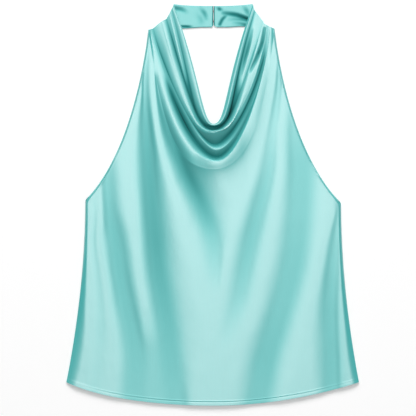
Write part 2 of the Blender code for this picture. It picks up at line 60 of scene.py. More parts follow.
# The swags of the cowl, from the neck edge outwards: where each leaves the shoulder seams,
# the knees and corners that draw it, its low point, mesh rows up to it, how softly it is
# rounded towards the neck and away from it (at its left, its low point and its right), how
# its shade gathers there, and its heights and shades at the stations along it.
Swag = namedtuple("Swag", "name end_l knee_l corner_l low corner_r knee_r end_r rows"
                          " inner outer spread heights shades")
SWAG_STATIONS = (0.0, 0.15, 0.25, 0.34, 0.42, 0.5, 0.58, 0.66, 0.75, 0.85, 0.92, 1.0)
NO_SHADE = (0,) * 12
SWAGS = (
    Swag("neck edge", (-65, 668), (-21, 550), -17, (1.2, 469.3), 23.5, (19, 538), (67, 668), 0,
         (0.5, 0.5, 0.5), (0.5, 0.5, 0.5), (1, 1, 1),
         (4.0, 6.4, 6.6, 6.7, 6.4, 5.8, 5.3, 5.6, 5.6, 5.4, 4.8, 3.9), NO_SHADE),
    Swag("rolled edge", (-66.5, 664), (-19, 535), -23, (1.2, 467.3), 30, (21, 519), (68, 664), 8,
         (3.0, 1.2, 1.8), (8.0, 1.2, 4.5), (1, 1, 1),
         (4.6, 6.8, 7.0, 7.1, 6.8, 6.3, 6.4, 6.6, 6.6, 6.4, 5.8, 4.8), NO_SHADE),
    Swag("inner crevice", (-69, 659), (-29, 520), -37, (1.2, 463.5), 40, (25, 516), (70, 658), 10,
         (1.0, 0.6, 0.6), (1.0, 0.6, 0.6), (3, 0.8, 3),
         (4.2, 5.7, 5.7, 5.1, 3.2, 1.8, 2.4, 4.3, 5.4, 5.6, 5.4, 4.7),
         (0.2, 0.6, 0.8, 1.15, 1.25, 1.1, 1.6, 1.5, 1.2, 0.95, 0.7, 0.4)),
    Swag("pleat", (-72, 653), (-37, 508), -27, (1.2, 462.2), 19, (45, 495), (75, 652), 8,
         (2.6, 0.3, 9.0), (2.6, 0.3, 2.0), (3, 1, 3),
         (4.8, 6.5, 6.3, 5.3, 3.3, 1.9, 2.8, 5.1, 6.5, 6.4, 5.9, 5.0),
         (0, 0, 0.3, 1.05, 1.2, 1.15, 1.5, 0.75, 0, 0, 0, 0)),
    Swag("first crevice", (-77, 644), (-44, 534), -27, (1.2, 460.4), 29, (47, 528), (84, 640), 8,
         (0.8, 0.4, 0.8), (0.8, 0.4, 0.8), (3, 1, 3),
         (4.2, 5.6, 5.8, 5.2, 3.2, 1.8, 2.6, 5.1, 6.3, 6.2, 5.9, 5.1),
         (0.4, 1.0, 1.05, 1.2, 1.25, 1.15, 1.5, 0.95, 0.3, 0.2, 0.1, 0.05)),
    Swag("first swag", (-85, 640), (-36, 461), -24, (1.2, 456.8), 43, (41, 490), (86, 636), 18,
         (10.0, 2.0, 10.0), (10.0, 3.0, 10.0), (2.5, 1, 2.5),
         (5.0, 7.4, 7.4, 7.3, 8.0, 12.0, 9.0, 7.6, 7.5, 7.4, 6.5, 5.2), NO_SHADE),
    Swag("outer pleat", (-87, 638.5), (-38, 466), -26, (1.2, 455.8), 45, (87, 578), (89.5, 634), 8,
         (10.0, 2.0, 0.5), (10.0, 2.0, 0.5), (1, 1, 1),
         (4.9, 7.3, 7.35, 7.25, 7.9, 11.8, 8.8, 7.3, 7.1, 7.3, 6.4, 5.2), NO_SHADE),
    Swag("inner hollow", (-99.5, 628), (-80, 553), -26, (4.6, 434.2), 32, (95, 562), (91.5, 633), 22,
         (1.2, 1.5, 0.8), (1.2, 1.5, 0.8), (3, 0.7, 2.5),
         (4.2, 5.7, 6.1, 6.1, 5.4, 4.4, 4.6, 6.0, 5.6, 5.0, 5.8, 5.0),
         (0.3, 0.75, 0.6, 0.6, 0.85, 0.7, 1.2, 1.3, 1.3, 1.1, 0.2, 0.1)),
    Swag("small swag", (-101, 627.6), (-83, 560), -27, (6.2, 427.0), 48, (98, 582), (92.5, 632.5), 10,
         (1.2, 3.0, 1.0), (1.2, 3.0, 1.0), (2, 1, 2),
         (4.3, 6.5, 6.5, 6.5, 6.3, 8.6, 6.6, 6.4, 6.2, 5.7, 6.0, 5.0),
         (0.2, 0.35, 0.35, 0.35, 0.15, 0, 0.3, 0.4, 0.45, 0.4, 0.1, 0)),
    Swag("outer hollow", (-102.5, 627.2), (-87, 553), -32, (6.2, 413.6), 40, (99, 568), (93.5, 632), 12,
         (1.5, 0.8, 1.0), (1.5, 0.8, 1.0), (1.5, 0.7, 1.5),
         (4.5, 7.2, 5.6, 4.7, 3.8, 3.6, 5.2, 6.0, 6.4, 6.3, 6.2, 5.1),
         (0.1, 0.1, 1.15, 1.35, 1.05, 0.82, 0.7, 0.6, 0.3, 0.2, 0, 0)),
    Swag("second swag", (-104.5, 626.6), (-73, 452), -34, (6.2, 406.0), 55, (95, 583), (96, 631), 14,
         (11.0, 3.7, 4.0), (11.0, 8.0, 14.0), (1.8, 1.2, 2),
         (4.8, 7.4, 7.4, 7.5, 8.0, 11.6, 11.0, 9.5, 9.0, 8.0, 6.8, 5.2), NO_SHADE),
)
# The last line of the cowl, where the body starts, with the heights and shades of the body
COWL_FOOT = Swag("cowl foot", (-107, 626), (-81, 435), -52, (2.9, 394.8),
                 44, (84, 442), (103, 627.5), 14,
                 (0.3, 0.3, 0.3), (0.3, 0.3, 0.3), (1, 1, 1), None, None)
# How strongly shade gathers in the deeper of two neighbouring swags
SHADE_GATHER = 1.25
# How high the cowl's foot stands over the body, and how far down the body that dies away
FOOT_RISES = (0, 0, 0, 0.3, 2.5, 2.9, 2.0, 1.0, 0.6, 0.35, 0.15, 0)
FOOT_REACH = (9.0, 18.0, 9.0)

# Where along a swag its roundness turns from the value at its left to the one at its low
# point, and to the one at its right, and the least width of the bank between two swags or folds
TURN_SHARES = (0.0, 0.36, 0.5, 0.64, 1.0)
LEAST_BANK = 0.5

# Lines of the folds down the body, crests and hollows by turns: x where each crosses the
# stations up the body and how far it sinks there, and for a hollow how far its left and right
# banks reach, and half the width of its floor at the bust and at the hem.
UP_STATIONS = (600, 525, 460, 392, 326, 276, 226, 176, 126, 76, 26)
BODY_HEIGHTS = (7.0, 7.6, 8.0, 8.0, 7.8, 7.4, 7.0, 6.5, 6.0, 5.5, 5.0)
Fold = namedtuple("Fold", "name across sinks banks floor", defaults=((0, 0), (0, 0)))
CREST = (0,) * 11
FOLDS = (
    Fold("left edge crest", (-224, -220, -217, -210, -204, -207, -205, -204, -207, -210, -215), CREST),
    Fold("left edge hollow", (-214, -210, -207, -204, -197, -199, -195, -189, -187, -192, -200),
         (0, 0, 0, 0, 0.1, 0.2, 0.2, 0.2, 0.2, 0.1, 0.1), (20, 20), (0, 0)),
    Fold("left side crest", (-204, -200, -197, -192, -187, -190, -182, -175, -170, -167, -175), CREST),
    Fold("left side hollow", (-187, -184, -182, -178, -173, -162, -155, -146, -135, -129, -132),
         (0, 0, 0, 0.9, 1.4, 1.7, 1.7, 1.6, 1.5, 1.3, 1.1), (32, 27), (0, 5)),
    Fold("left long crest", (-122, -122, -132, -135, -129, -127, -125, -117, -109, -100, -104),
         (0, 0, 0, 0, 0, 0, 0, 0, 0.3, 0.8, 0.8)),
    Fold("left long hollow", (-110, -114, -109, -105, -100, -95, -90, -82, -74, -69, -64),
         (0, 0.9, 2.1, 2.6, 2.8, 2.9, 2.6, 2.2, 1.8, 1.5, 1.2), (32, 60), (0, 6)),
    Fold("left bust crest", (-100, -99, -92, -77, -57, -45, -27, -20, -7, -10, -27), CREST),
    Fold("left bust hollow", (-97, -90, -70, -42, -14, 0, 6, 10, 12, 4, -13),
         (0, 1.1, 3.5, 4.6, 2.7, 1.1, 0.4, 0, 0, 0, 0), (40, 58), (0, 4)),
    Fold("right bust crest", (106, 98, 85, 68, 46, 30, 20, 10, 0, -4, -20), CREST),
    Fold("right bust hollow", (111, 109, 100, 93, 76, 63, 53, 43, 28, 16, -4),
         (0.2, 0.5, 0.4, 0.8, 1.2, 1.3, 1.1, 0.7, 0.2, 0, 0), (42, 30), (0, 0)),
    Fold("right side crest", (118, 120, 116, 113, 103, 95, 85, 73, 56, 28, 6), CREST),
    Fold("right side hollow", (140, 143, 145, 148, 145, 140, 132, 119, 104, 89, 80),
         (0, 0.3, 0.7, 1.1, 1.1, 1.2, 1.3, 1.3, 1.4, 1.5, 1.3), (40, 70), (8, 8)),
    Fold("right edge crest", (196, 196, 198, 200, 201, 188, 178, 168, 160, 151, 135), CREST),
    Fold("right edge hollow", (210, 210, 210, 210, 210, 205, 200, 197, 197, 199, 200),
         (0, 0, 0, 0, 0.4, 0.8, 1.1, 1.3, 1.4, 1.4, 1.3), (34, 16), (0, 2)),
    Fold("right seam crest", (216, 216, 216, 216, 218, 219, 221, 222, 224, 228, 232), CREST),
)
# How far a hollow's banks round off, how wide a crest stays level, and the height up the body
# where a hollow's floor has its width at the bust
HOLLOW_SOFT = 10.0
CREST_FLAT = 3.0
FLOOR_UP = 392
# How deep a hollow is in full painted shade, the most painted shade on the body, and how far painted
# shade reaches
SHADE_DEPTH = 9.0
SHADE_MOST = 0.75
SHADE_REACH = 15.0

# The front's mesh: rows down the body, closer together near the cowl, then rows at these
# distances from the hem; columns at these shares in from its side edges, and even ones between
BODY_ROWS = 112
BODY_ROW_POWER = 1.15
HEM_ROWS = (11.0, 9.6, 8.7, 8.1, 7.5, 6.9, 6.4, 6.0, 5.6, 5.1, 4.2, 3.0, 1.8, 1.0, 0.4, 0.0)
EDGE_COLUMNS = (0.0, 0.0015, 0.003, 0.005, 0.0075, 0.0105, 0.014, 0.018, 0.023)
EVEN_COLUMNS = 176

# The share of a side edge at which the armhole ends and the side seam starts
ARMHOLE_END = 0.5

# How wide the cloth rolls down to its side edges, at the stations up the body
ROLLS_LEFT = (2.5, 2.5, 2.5, 2.5, 3.5, 4.5, 7.0, 11.0, 17.0, 20.0, 18.0)
ROLLS_RIGHT = (2.5, 2.5, 2.5, 2.5, 3.5, 5.0, 6.0, 7.0, 9.0, 12.0, 12.0)
ROLL_SOFT = 1.0

# Short creases: depth at the start, middle and end, the most shade, how far each bank reaches,
# and the route
Pleat = namedtuple("Pleat", "name depth shade width route")
PLEATS = (
    Pleat("right inner pleat", (0.4, 1.5, 0.3), 0.7, 3.0, ((65, 626), (60, 601), (53, 576), (46, 551))),
    Pleat("right wedge", (0.8, 2.1, 0.5), 0.75, 2.6, ((87, 628), (83, 606), (74, 581), (62, 556))),
)
PLEAT_SOFT = 1.6

# How softly hollows settle on what lies under them, and the room left there
SETTLE = 0.8
SETTLE_ROOM = 0.2
# The least level that steep cloth counts as when its wall is laid out, and the angle in
# degrees from which a shell's edge stays sharp
LEAST_LEVEL = 0.25
SHARP_ANGLE = 50
# How many points draw a crease, an armhole and a longer line where distances to it are taken
PLEAT_POINTS = 48
ARMHOLE_POINTS = 60
LINE_POINTS = 120

# Turned hems: how wide the fold is, how far it stands up, and where and how deep it is stitched
Hem = namedtuple("Hem", "fold step stitch_in sink")
BOTTOM_HEM = Hem(8.0, 0.25, 6.0, 0.3)
ARMHOLE_HEM = Hem(4.0, 0.2, 2.8, 0.15)
# The width over which a fold's step ends, and of the groove that its stitches pull
STEP_WIDTH = 1.2
GROOVE_WIDTH = 0.7
STITCH_LENGTH = 2.4
STITCH_PITCH = 3.0
STITCH_RINGS = 6
STITCH_SIDES = 6
THREAD = 0.2
# How far a stitch thins towards its ends, how high its middle rides, and how far its ends dive
THREAD_TAPER = 0.75
THREAD_RISE = 0.5
THREAD_DIVE = 1.3

# Where on the hem and on a front's side edge the rows of stitches start and end, as shares of
# its length, and how many points draw each
HEM_STITCHED = (0.002, 0.998)
HEM_SEWN_POINTS = 400
ARMHOLE_STITCHED = (0.01, 0.495)
ARMHOLE_SEWN_POINTS = 200
# How far ahead of a stitch, as a share of its pitch, the next point gives its direction
STITCH_AHEAD = 0.05
# The height over the body from which stitches are dropped on it
DROP_FROM = 50.0

# The dip of the back's top edge, the lengths over which the front drops off the back and rises
# onto the neck band, and the band's own edges
BACK_DIP = 16.0
DROP_START = 10.0
DROP_LENGTH = 24.0
RISE_START = 27.0
RISE_LENGTH = 15.0
BAND_TOP_SAG = 3.2
BAND_BOTTOM = ((-107.0, 626.0), (-45.0, 628.3), (-20.0, 630.0),
               (26.0, 630.2), (46.0, 631.6), (103.0, 627.5))

# The slit at the centre back, the corners that end it, the cloth puffed into it, and the shade painted
# along its edges
SLIT_LEFT = 0.4
SLIT_RIGHT = 2.4
SLIT_CORNER_UP = 633.3
SLIT_CORNER_LEFT = -2.0
SLIT_CORNER_RIGHT = 7.9
SLIT_PUFF = 0.6
SLIT_SHADE = 0.7
# How far the band's end is clear of the shoulder, its mesh, its height and how it rounds off
BAND_END_INSET = 0.4
BAND_COLUMNS = 72
BAND_ROWS = 34
BAND_HEIGHT = 1.9
BAND_FOLD = 1.4

# Creases of the neck band, pulled by its hooks, and the shade that the whole band lies in
BAND_SHADE = 0.10
BAND_CREASES = (
    Pleat("left upper pull", (0.9, 0.7, 0.1), 0.5, 5.0, ((-64, 662), (-54, 660.5), (-43, 655.5))),
    Pleat("left lower pull", (0.5, 0.7, 0.1), 0.9, 2.0, ((-54, 631.8), (-44, 631.4), (-34, 631.2))),
    Pleat("left dent", (0.1, 0.35, 0.15), 0.32, 5.5, ((-20, 661), (-13.5, 653), (-11, 645))),
    Pleat("left soft dent", (0.05, 0.2, 0.05), 0.12, 9.0, ((-26, 652), (-19, 641), (-22, 633))),
    Pleat("right upper pull", (0.2, 0.6, 0.2), 0.6, 3.6, ((8, 662.5), (11, 660.5), (15, 659))),
    Pleat("right long pull", (0.3, 0.9, 1.3), 1.35, 4.8, ((18, 654), (38, 651), (58, 644.2))),
    Pleat("right lower pull", (0.1, 0.4, 0.9), 0.7, 4.0, ((28, 643), (42, 644), (58, 642))),
    Pleat("right hooked pull", (0.5, 0.5, 0.2), 0.62, 3.2, ((12, 635), (16, 643), (23, 650))),
    Pleat("right corner dent", (0.1, 0.3, 0.6), 0.6, 6.0, ((36, 638), (48, 636), (57, 633))),
    Pleat("right end dent", (0.1, 0.4, 0.2), 0.3, 5.0, ((52, 664), (57, 657), (60, 650))),
)

# The lower back: soft creases pressed into its cloth
BACK_COLUMNS = 120
BACK_ROWS = 84
BACK_HEIGHT = 1.15
BACK_CREASES = (
    Pleat("left creases", (0.1, 0.35, 0.2), 0.0, 26.0, ((-150, 330), (-160, 190), (-185, 20))),
    Pleat("left middle creases", (0.2, 0.3, 0.1), 0.0, 30.0, ((-70, 330), (-62, 180), (-80, 15))),
    Pleat("middle creases", (0.1, 0.35, 0.3), 0.0, 24.0, ((-8, 318), (12, 170), (4, 0))),
    Pleat("right middle creases", (0.2, 0.3, 0.2), 0.0, 28.0, ((76, 325), (70, 200), (92, 15))),
    Pleat("right creases", (0.1, 0.4, 0.2), 0.0, 26.0, ((156, 330), (150, 180), (178, 25))),
)

# Hook-and-eye closures in the slit
HOOK_UPS = {"neck_hook_upper": 657.5, "neck_hook_lower": 641.0}
HOOK_WIRE = 0.35
EYE_RADIUS = 1.1
EYE_HEIGHT = 1.3
EYE_POINTS = 24
# The hook: how far its two legs reach left of the slit's middle, the radius and height of its
# bend, and how many points draw it
LOWER_LEG = 2.0
UPPER_LEG = 1.6
BEND_RADIUS = 0.5
BEND_HEIGHT = 1.5
BEND_POINTS = 9

# The cut of a sheet of cloth: its flat width and length in metres, and its area in square metres
Cut = namedtuple("Cut", "flat area")

# Satin: its colour from open cloth to the deepest painted shade between folds, at each depth of painted
# shade
DEEPEST_PAINTED_SHADE = 1.5
SATIN_PAINTED_SHADE_STOPS = (
    (0.0, (0.052, 0.472, 0.458, 1)),
    (0.5, (0.045, 0.378, 0.368, 1)),
    (1.0, (0.026, 0.27, 0.264, 1)),
    (1.5, (0.001, 0.03, 0.03, 1)),
)

# How rough and how metallic it looks, from open cloth to that depth of painted shade, so that painted
# shade also dulls its gloss and darkens its reflections
ROUGH_SHADE_DEPTH = 0.5
ROUGHNESS = (0.35, 0.75)
METAL_SHADE_DEPTH = 0.7
METALLIC = (0, 0.95)
SATIN_IOR = 1.7

# Its threads, streaks and unevenness: features a metre across, along and up, how strong each
# is, and its depth in millimetres
WEAVE_SCALES = (2600, 420, 1000)
WEAVE_STRENGTH = 0.5
WEAVE_DEPTH = 0.02
STREAK_SCALES = (700, 36, 100)
STREAK_STRENGTH = 0.3
STREAK_DEPTH = 0.012
STREAK_RANGE = (0.3, 0.7)
STREAK_TINT = 0.015
UNEVEN_SCALES = (46, 30, 30)
UNEVEN_STRENGTH = 0.35
UNEVEN_DEPTH = 0.5

# The thread, the hooks' steel and the floor
THREAD_COLOUR = (0.11, 0.42, 0.4, 1)
THREAD_ROUGHNESS = 0.55
TWIST_SCALES = (3000, 3000, 3000)
TWIST_STRENGTH = 0.4
TWIST_DEPTH = 0.03
STEEL_COLOUR = (0.3, 0.31, 0.31, 1)
STEEL_ROUGHNESS = 0.35
FLOOR_SIZE = 8.0
FLOOR_HEIGHT = -0.0003
FLOOR_COLOUR = (0.96, 0.96, 0.96, 1)
FLOOR_GLOW = 0.1
FLOOR_ROUGHNESS = 0.9
WHITE = (1, 1, 1, 1)

# Camera: the place in the pattern at the picture's middle, in millimetres, from the pixel of
# the top's middle line and of its hem; its height in metres; and its sensor in millimetres
MIDDLE_PIXEL = 212.25
HEM_PIXEL = 405.0
PICTURE_MIDDLE = (207.6, 207.5)
FRAME_CENTRE = (
    (PICTURE_MIDDLE[0] - MIDDLE_PIXEL) * PIXEL_MM,
    (HEM_PIXEL - PICTURE_MIDDLE[1]) * PIXEL_MM,
)
CAMERA_HEIGHT = 7.0
SENSOR = 36.0

# Lights, aimed at the top's middle: size and place in metres, and whether each lights the cloth
# itself and shows in its gloss
Lamp = namedtuple("Lamp", "name width length watts spot diffuse glossy")
LAMPS = (
    Lamp("front box", 1.4, 3.4, 158, (0.0, 0.45, 7.2), True, True),
    Lamp("top box", 4.2, 3.4, 240, (0.0, 6.0, 4.3), True, True),
    Lamp("top fill", 4.2, 3.4, 232, (0.0, 6.0, 4.3), True, False),
    Lamp("crest strip", 3.0, 0.8, 55, (0.0, 2.6, 6.6), False, True),
)
WORLD_LIGHT = 0.2


def smooth_step(value):
    t = np.clip(value, 0.0, 1.0)
    return t * t * (3.0 - 2.0 * t)


def smooth_interp(x, xs, ys):
    """A smooth curve through (xs, ys) that never overshoots its points."""
    xs = np.asarray(xs, float)
    ys = np.asarray(ys, float)
    step = np.diff(xs)
    rise = np.diff(ys) / step
    slope = np.zeros(len(xs))
    same_way = rise[:-1] * rise[1:] > 0
    before, after = rise[:-1][same_way], rise[1:][same_way]
    slope[1:-1][same_way] = 2 * before * after / (before + after)
    slope[0] = rise[0]
    slope[-1] = rise[-1]
    i = np.clip(np.searchsorted(xs, x, side="right") - 1, 0, len(xs) - 2)
    t = (x - xs[i]) / step[i]
    keep = (1 + 2 * t) * (1 - t) ** 2 * ys[i] + t * t * (3 - 2 * t) * ys[i + 1]
    return keep + step[i] * (t * (1 - t) ** 2 * slope[i] - t * t * (1 - t) * slope[i + 1])


def spline_interp(x, xs, ys):
    """A flowing curve through (xs, ys)."""
    xs = np.asarray(xs, float)
    ys = np.asarray(ys, float)
    slope = np.gradient(ys, xs)
    i = np.clip(np.searchsorted(xs, x, side="right") - 1, 0, len(xs) - 2)
    step = (xs[1:] - xs[:-1])[i]
    t = (x - xs[i]) / step
    keep = (1 + 2 * t) * (1 - t) ** 2 * ys[i] + t * t * (3 - 2 * t) * ys[i + 1]
    return keep + step * (t * (1 - t) ** 2 * slope[i] - t * t * (1 - t) * slope[i + 1])


def bezier(start, first, second, end, count=160):
    t = np.linspace(0, 1, count)[:, None]
    points = [np.asarray(p, float) for p in (start, first, second, end)]
    return ((1 - t) ** 3 * points[0] + 3 * t * (1 - t) ** 2 * points[1]
            + 3 * t * t * (1 - t) * points[2] + t ** 3 * points[3])


def along(line, shares):
    """Points at these shares of a line's length."""
    length = np.concatenate([[0.0], np.cumsum(np.linalg.norm(np.diff(line, axis=0), axis=1))])
    at = np.asarray(shares) * length[-1]
    return np.stack([np.interp(at, length, line[:, 0]), np.interp(at, length, line[:, 1])], axis=1)


def swag_line(swag, shares):
    """The swag seen from above, at these shares of the way from the left shoulder to the right."""
    left = bezier(swag.end_l, swag.knee_l, (swag.corner_l, swag.low[1]), swag.low)
    right = bezier(swag.low, (swag.corner_r, swag.low[1]), swag.knee_r, swag.end_r)
    shares = np.asarray(shares)
    first = along(left, np.clip(shares * 2, 0, 1))
    second = along(right, np.clip(shares * 2 - 1, 0, 1))
    return np.where((shares < 0.5)[:, None], first, second)


def hem_up(x):
    t = np.abs(np.asarray(x, float)) / HEM_HALF
    left = HEM_RISE_LEFT[0] * t ** 2 + HEM_RISE_LEFT[1] * t ** 6
    right = HEM_RISE_RIGHT[0] * t ** 2 + HEM_RISE_RIGHT[1] * t ** 6
    return np.where(np.asarray(x) < 0, left, right)


def hem_line(shares):
    x = HEM_HALF * (2 * np.asarray(shares) - 1)
    return np.stack([x, hem_up(x)], axis=1)


def side_seam(underarm, count=60):
    """From the underarm down to the hem's corner, flaring more and more."""
    t = np.linspace(0, 1, count)
    side = np.sign(underarm[0])
    x = underarm[0] + side * (HEM_HALF - abs(underarm[0])) * t ** FLARE_POWER
    up = underarm[1] + (hem_up(side * HEM_HALF) - underarm[1]) * t
    return np.stack([x, up], axis=1)


def side_edge(swag_end, handles, underarm, shares):
    """The armhole for shares up to a half, then the side seam."""
    armhole = bezier(swag_end, handles[0], handles[1], underarm)
    shares = np.asarray(shares)
    first = along(armhole, np.clip(shares * 2, 0, 1))
    second = along(side_seam(underarm), np.clip(shares * 2 - 1, 0, 1))
    return np.where((shares < 0.5)[:, None], first, second)


def left_edge(shares):
    return side_edge(COWL_FOOT.end_l, ARMHOLE_LEFT, UNDERARM_LEFT, shares)


def right_edge(shares):
    return side_edge(COWL_FOOT.end_r, ARMHOLE_RIGHT, UNDERARM_RIGHT, shares)


def distance_to(line, x, up, count=90):
    """Distance of each point to a line, and the share of the line's length where it is nearest."""
    fine = along(line, np.linspace(0, 1, count))
    best = np.full(x.shape, 1e9)
    share = np.zeros(x.shape)
    for k in range(count - 1):
        start = fine[k]
        run = fine[k + 1] - start
        t = ((x - start[0]) * run[0] + (up - start[1]) * run[1]) / max(run @ run, 1e-9)
        t = np.clip(t, 0, 1)
        gap = np.hypot(x - start[0] - t * run[0], up - start[1] - t * run[1])
        nearer = gap < best
        best = np.where(nearer, gap, best)
        share = np.where(nearer, (k + t) / (count - 1), share)
    return best, share


def curve_through(route, count=60):
    """A smooth line through the route's points."""
    route = np.asarray(route, float)
    at = np.linspace(0, 1, len(route))
    t = np.linspace(0, 1, count)
    return np.stack([smooth_interp(t, at, route[:, 0]), smooth_interp(t, at, route[:, 1])], axis=1)


def flank(t, soft_start, soft_end):
    """Share of a bank's drop where its slope grows over the first part and dies over the last."""
    steep = 1 / (1 - (soft_start + soft_end) / 2)
    rising = t ** 2 / (2 * np.maximum(soft_start, 1e-6))
    dying = 1 - soft_start / 2 - soft_end / 2 - (1 - t) ** 2 / (2 * np.maximum(soft_end, 1e-6))
    straight = t - soft_start / 2
    return steep * np.where(t < soft_start, rising, np.where(t > 1 - soft_end, dying, straight))


def soft_shares(start, end):
    """The two rounded shares of a bank, cut back where together they are more than all of it."""
    least = np.minimum(np.minimum(start, end), 0.5)
    soft_start = np.where(start > end, np.minimum(start, 1 - least), least)
    soft_end = np.where(start > end, least, np.minimum(end, 1 - least))
    return soft_start, soft_end


def pleat_depth(pleat, x, up):
    """A narrow crease with straight banks, fading towards its ends, and its shade."""
    gap, share = distance_to(curve_through(pleat.route), x, up, PLEAT_POINTS)
    depth = smooth_interp(share, (0.0, 0.5, 1.0), pleat.depth)
    inside = np.clip((np.sqrt(gap ** 2 + PLEAT_SOFT ** 2) - PLEAT_SOFT) / pleat.width, 0, 1)
    shape = (1 - inside) ** 2
    return depth * shape, pleat.shade * depth / max(pleat.depth) * shape


def body_height(x, up):
    """Height of the folded body between its crests and hollows, and the shade painted in its hollows.
    """
    stations = UP_STATIONS[::-1]
    base = smooth_interp(up, stations, BODY_HEIGHTS[::-1])
    lines = [spline_interp(up, stations, fold.across[::-1]) for fold in FOLDS]
    sinks = [smooth_interp(up, stations, fold.sinks[::-1]) for fold in FOLDS]
    # Painted shade grows with how deep each hollow sinks, and spreads out from its line
    painted_darks = [np.clip(sink / SHADE_DEPTH, 0, SHADE_MOST) for sink in sinks]
    sunk = np.zeros(x.shape)
    shade = np.zeros(x.shape)
    for i in range(len(FOLDS) - 1):
        wide = np.maximum(lines[i + 1] - lines[i], LEAST_BANK)
        between = (x >= lines[i]) & (x < lines[i + 1])
        before = i % 2 == 0
        crest, hollow = (i, i + 1) if before else (i + 1, i)
        away = np.abs(x - lines[hollow])
        floor = np.interp(up, (0, FLOOR_UP), FOLDS[hollow].floor[::-1])
        floor = np.minimum(floor, wide / 4)
        slope = np.maximum(wide - floor - CREST_FLAT, wide / 2)
        bank = np.minimum(slope, FOLDS[hollow].banks[0 if before else 1])
        outside = np.maximum(away - floor, 0)
        soft = np.minimum(HOLLOW_SOFT / bank, 0.5)
        drop = flank(1 - np.clip(outside / bank, 0, 1), 1 - soft, soft)
        near = np.exp(-(outside / np.minimum(SHADE_REACH, wide / 2)) ** 2)
        sunk = np.where(between, sinks[crest] + (sinks[hollow] - sinks[crest]) * drop, sunk)
        shade = np.where(between, painted_darks[crest] + (painted_darks[hollow] - painted_darks[crest]) * near, shade)
    return base - sunk, shade


def back_top_up(x):
    """The top edge of the lower back, dipping between the underarms."""
    share = (x - UNDERARM_LEFT[0]) / (UNDERARM_RIGHT[0] - UNDERARM_LEFT[0])
    straight = UNDERARM_LEFT[1] + (UNDERARM_RIGHT[1] - UNDERARM_LEFT[1]) * share
    return straight - BACK_DIP * np.sin(pi * np.clip(share, 0, 1))


def band_bottom_up(x):
    xs, ups = zip(*BAND_BOTTOM)
    return np.interp(x, xs, ups)


def lie_level(x, up):
    """Height of what the front lies on: the lower back, the bare surface, or the neck band."""
    over_back = 1 - smooth_step((up - back_top_up(x) - DROP_START) / DROP_LENGTH)
    over_band = smooth_step((up - band_bottom_up(x) + RISE_START) / RISE_LENGTH)
    return (LIE_CLOTH + SEAM_GAP) * over_back + (BAND_CLOTH + SEAM_GAP) * over_band


def front_columns():
    even = np.linspace(0, 1, EVEN_COLUMNS + 1)
    first = EDGE_COLUMNS[-1] + (1 - 2 * EDGE_COLUMNS[-1]) * even
    edge = np.array(EDGE_COLUMNS[:-1])
    return np.concatenate([edge, first, 1 - edge[::-1]])


def side_to_low(trio, columns):
    """A value that a swag has on its left, changing to others at its low point and on its right."""
    left, low, right = trio
    return smooth_interp(columns, TURN_SHARES, (left, left, low, right, right))


def shade_between(t, start, end, spread):
    """Shade on a bank, gathered towards the deeper of its two ends where the spread is large."""
    gathered = np.where(end > start, t ** spread, 1 - (1 - t) ** spread)
    return start + (end - start) * gathered


def foot_heights(columns):
    line = swag_line(COWL_FOOT, columns)
    height, shade = body_height(line[:, 0], line[:, 1])
    return height + smooth_interp(columns, SWAG_STATIONS, FOOT_RISES), shade


def cowl_rows(columns):
    """Rows of (x, up, height) from the neck edge to the cowl's foot."""
    swags = SWAGS + (COWL_FOOT,)
    lines = [swag_line(swag, columns) for swag in swags]
    heights = [smooth_interp(columns, SWAG_STATIONS, swag.heights) for swag in SWAGS]
    shades = [smooth_interp(columns, SWAG_STATIONS, swag.shades) for swag in SWAGS]
    foot_height, foot_shade = foot_heights(columns)
    heights.append(foot_height)
    shades.append(foot_shade)
    rows = [np.column_stack([lines[0], heights[0], shades[0]])]
    for i, swag in enumerate(swags[1:]):
        wide = np.maximum(np.linalg.norm(lines[i + 1] - lines[i], axis=1), LEAST_BANK)
        start, end = soft_shares(side_to_low(swags[i].outer, columns) / wide,
                                 side_to_low(swag.inner, columns) / wide)
        spread = SHADE_GATHER * side_to_low(swag.spread, columns)
        for k in range(1, swag.rows + 1):
            t = (1 - cos(pi * k / swag.rows)) / 2
            place = lines[i] + (lines[i + 1] - lines[i]) * t
            fallen = flank(np.full(wide.shape, t), start, end)
            height = heights[i] + (heights[i + 1] - heights[i]) * fallen
            shade = shade_between(t, shades[i], shades[i + 1], spread)
            rows.append(np.column_stack([place, height, shade]))
    return rows


def rows_between(top, bottom, left, right, columns, shares):
    """Rows spread from one line to another at these shares, drawn out to lines at their two sides."""
    across = columns[:, None]
    rows = []
    for k, share in enumerate(shares):
        place = top + (bottom - top) * share
        rows.append(place + (1 - across) * (left[k] - place[0]) + across * (right[k] - place[-1]))
    return np.array(rows)


def body_rows(columns):
    """Rows from the cowl's foot to the hem, spread between the two side edges."""
    top = swag_line(COWL_FOOT, columns)
    hem = hem_line(columns)
    length = top[len(columns) // 2, 1] - hem[len(columns) // 2, 1]
    even = [(k / BODY_ROWS) ** BODY_ROW_POWER for k in range(1, BODY_ROWS + 1)]
    shares = [share for share in even if share < 1 - (HEM_ROWS[0] + 1) / length]
    shares += [1 - row / length for row in HEM_ROWS]
    place = rows_between(top, hem, left_edge(shares), right_edge(shares), columns, shares)
    x, up = place[..., 0], place[..., 1]
    gap, share = distance_to(top, x, up, LINE_POINTS)
    rise = smooth_interp(share, SWAG_STATIONS, FOOT_RISES)
    height, shade = body_height(x, up)
    height = height + rise * np.exp(-gap / side_to_low(FOOT_REACH, share))
    return np.concatenate([place, height[..., None], shade[..., None]], axis=-1)


def edge_roll(line, rolls, x, up, height, low):
    """Brings the cloth down to a low edge over the width of its roll."""
    gap, _ = distance_to(line, x, up)
    wide = smooth_interp(up, UP_STATIONS[::-1], rolls[::-1])
    lift = flank(np.clip(gap / wide, 0, 1), 0.0, ROLL_SOFT)
    return low + (height - low) * lift


def hem_profile(hem, gap):
    """How far a turned hem stands over plain cloth at this distance from its edge."""
    fold = hem.step * (1 - smooth_step((gap - hem.fold) / STEP_WIDTH + 0.5))
    return fold - hem.sink * np.exp(-((gap - hem.stitch_in) / GROOVE_WIDTH) ** 2)


